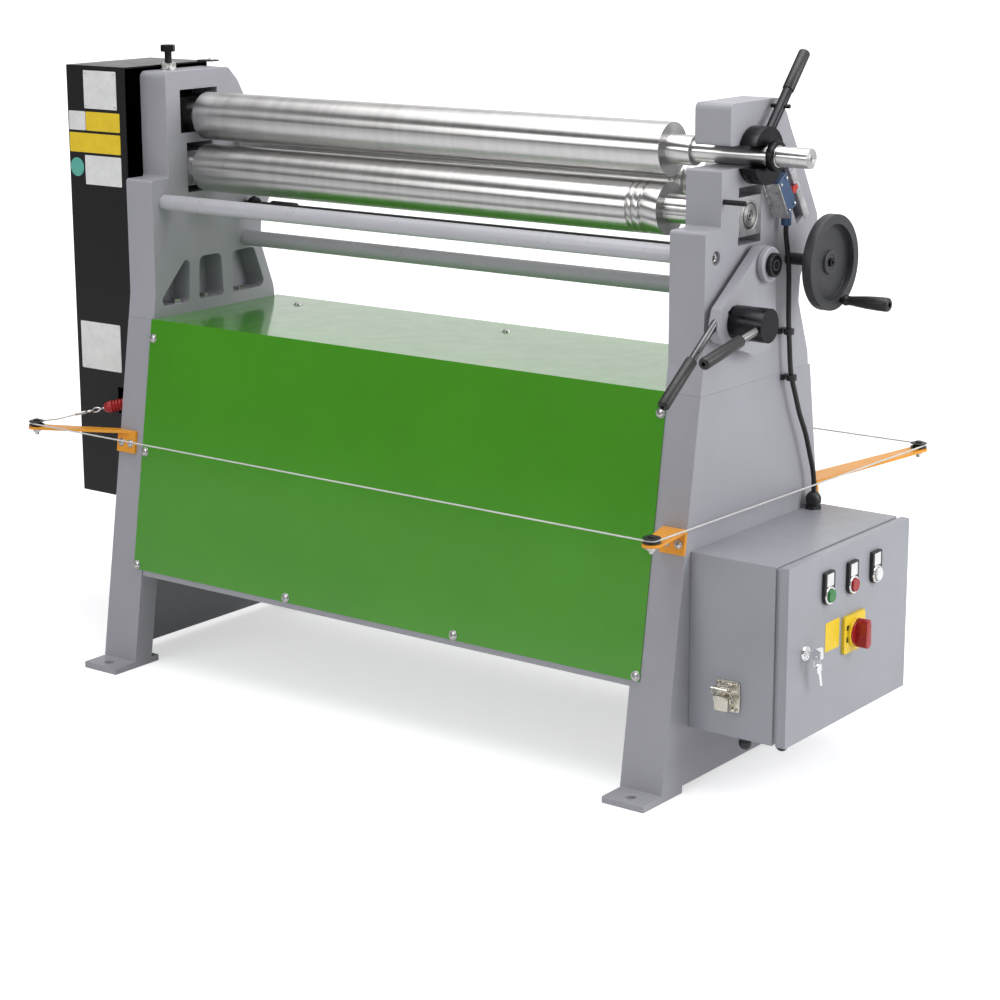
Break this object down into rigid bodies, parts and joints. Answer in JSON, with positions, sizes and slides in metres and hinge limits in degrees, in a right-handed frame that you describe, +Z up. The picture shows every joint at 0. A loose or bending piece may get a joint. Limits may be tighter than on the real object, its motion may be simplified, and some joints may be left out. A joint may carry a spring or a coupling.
{
  "type": "plate rolling machine",
  "caption": "Motor-driven plate rolling machine on folded sheet stands, with cast heads, an openable top roll, a tilted rear roll, a handwheel and a rope guard",
  "frame": {"origin": "on the floor, midway between the four anchor bolt holes", "axes": "+X along the rolls toward the control box and the open roll end, +Y toward the back of the machine, +Z up"},
  "size_m": [1.672, 0.8867, 1.2047],
  "materials": {
    "frame_paint": "satin light grey machine paint on cast iron and folded sheet",
    "tie_paint": "satin light grey paint",
    "green_paint": "satin green powder coat",
    "black_paint": "satin black powder coat",
    "orange_paint": "orange powder coat",
    "box_paint": "fine textured light blue grey powder coat",
    "red_paint": "red paint",
    "roll_steel": "turned and polished steel",
    "block_steel": "milled steel, lightly oiled",
    "black_steel": "black oxide steel",
    "zinc": "galvanised steel",
    "scale_plate": "printed aluminium strip",
    "black_grip": "black knurled grip",
    "black_plastic": "black plastic",
    "wheel_plastic": "dark grey moulded plastic",
    "blue_plastic": "blue moulded plastic",
    "pale_plastic": "pale grey plastic",
    "green_plastic": "green moulded plastic",
    "red_plastic": "red moulded plastic",
    "white_plastic": "white moulded plastic",
    "black_rubber": "black cable sheath",
    "rope_cover": "white plastic over steel rope"
  },
  "bodies": {
    "frame": {"left_stand": "frame_paint", "right_stand": "frame_paint", "stretchers": "frame_paint", "left_head": "frame_paint", "right_head": "frame_paint", "front_tie_bar": "tie_paint", "rear_tie_bar": "tie_paint", "front_cover": "green_paint", "rear_cover": "green_paint", "gear_cover": "black_paint", "left_top_block": "black_steel", "height_bolt": "zinc", "travel_scale": "scale_plate", "switch_bracket": "zinc", "limit_switch": "blue_plastic", "switch_cable": "black_rubber", "cable_clips": "black_plastic", "pivot_pins": "black_steel", "control_box": "box_paint", "cable_glands": "black_plastic", "rope_brackets": "orange_paint", "rope_pulleys": "black_plastic", "trip_rope": "rope_cover", "rope_switch": "red_plastic"},
    "top_roll": {"top_roll": "roll_steel", "shaft_collar": "black_steel"},
    "lower_carriage": {"lower_blocks": "block_steel"},
    "lower_roll": {"lower_roll": "roll_steel"},
    "rear_carriage": {"rear_blocks": "block_steel", "travel_pointer": "red_paint"},
    "rear_roll": {"rear_roll": "roll_steel"},
    "handwheel": {"handwheel": "wheel_plastic"},
    "crank_grip": {"crank_grip": "black_plastic"},
    "latch": {"latch_ring": "black_steel", "latch_grip": "black_grip"},
    "pinch_arm": {"pinch_arm": "frame_paint", "arm_boss": "frame_paint", "pinch_grip": "black_grip"},
    "clamp_knob": {"clamp_knob": "black_steel", "clamp_grip": "black_grip"},
    "control_door": {"control_door": "box_paint", "door_plates": "pale_plastic", "door_lock": "zinc"},
    "green_button": {"green_button": "green_plastic"},
    "red_button": {"red_button": "red_plastic"},
    "white_button": {"white_button": "white_plastic"},
    "main_switch": {"main_switch": "red_plastic"}
  },
  "joints": [
    {"name": "top_roll_spin", "type": "hinge", "parent": "frame", "child": "top_roll", "pos_m": [0, -0.03, 1.04], "axis": [1, 0, 0], "continuous": true},
    {"name": "lower_roll_lift", "type": "slide", "parent": "frame", "child": "lower_carriage", "axis": [0, 0, 1], "range_m": [-0.01, 0.003]},
    {"name": "lower_roll_spin", "type": "hinge", "parent": "lower_carriage", "child": "lower_roll", "pos_m": [0, -0.035, 0.942], "axis": [1, 0, 0], "continuous": true},
    {"name": "rear_roll_lift", "type": "slide", "parent": "frame", "child": "rear_carriage", "axis": [0, -0.5299, 0.848], "range_m": [-0.05, 0.04]},
    {"name": "rear_roll_spin", "type": "hinge", "parent": "rear_carriage", "child": "rear_roll", "pos_m": [0, 0.098, 0.971], "axis": [1, 0, 0], "continuous": true},
    {"name": "handwheel_turn", "type": "hinge", "parent": "frame", "child": "handwheel", "pos_m": [0.7235, 0.09, 0.857], "axis": [1, 0, 0], "continuous": true},
    {"name": "crank_grip_spin", "type": "hinge", "parent": "handwheel", "child": "crank_grip", "pos_m": [0.77, 0.11509, 0.79165], "axis": [1, 0, 0], "continuous": true},
    {"name": "latch_turn", "type": "hinge", "parent": "frame", "child": "latch", "pos_m": [0.6645, -0.03, 1.04], "axis": [1, 0, 0], "range_deg": [0, 90]},
    {"name": "pinch_arm_turn", "type": "hinge", "parent": "frame", "child": "pinch_arm", "pos_m": [0.663, -0.029, 0.864], "axis": [1, 0, 0], "range_deg": [-16, 5]},
    {"name": "clamp_turn", "type": "hinge", "parent": "frame", "child": "clamp_knob", "pos_m": [0.7, -0.117, 0.781], "axis": [1, 0, 0], "range_deg": [-40, 40]},
    {"name": "control_door_turn", "type": "hinge", "parent": "frame", "child": "control_door", "pos_m": [0.829, 0.206, 0.262], "axis": [0, 0, 1], "range_deg": [0, 110]},
    {"name": "green_button_press", "type": "slide", "parent": "control_door", "child": "green_button", "axis": [-1, 0, 0], "range_m": [0, 0.003], "stiffness_N_per_m": 800},
    {"name": "red_button_press", "type": "slide", "parent": "control_door", "child": "red_button", "axis": [-1, 0, 0], "range_m": [0, 0.003], "stiffness_N_per_m": 800},
    {"name": "white_button_press", "type": "slide", "parent": "control_door", "child": "white_button", "axis": [-1, 0, 0], "range_m": [0, 0.003], "stiffness_N_per_m": 800},
    {"name": "main_switch_turn", "type": "hinge", "parent": "control_door", "child": "main_switch", "pos_m": [0.835, 0.014, 0.258], "axis": [1, 0, 0], "range_deg": [0, 90]}
  ],
  "couplings": [
    {"joint": "lower_roll_spin", "follows": "top_roll_spin", "ratio": -1},
    {"joint": "pinch_arm_turn", "follows": "lower_roll_lift", "rad_per_m": 27}
  ]
}
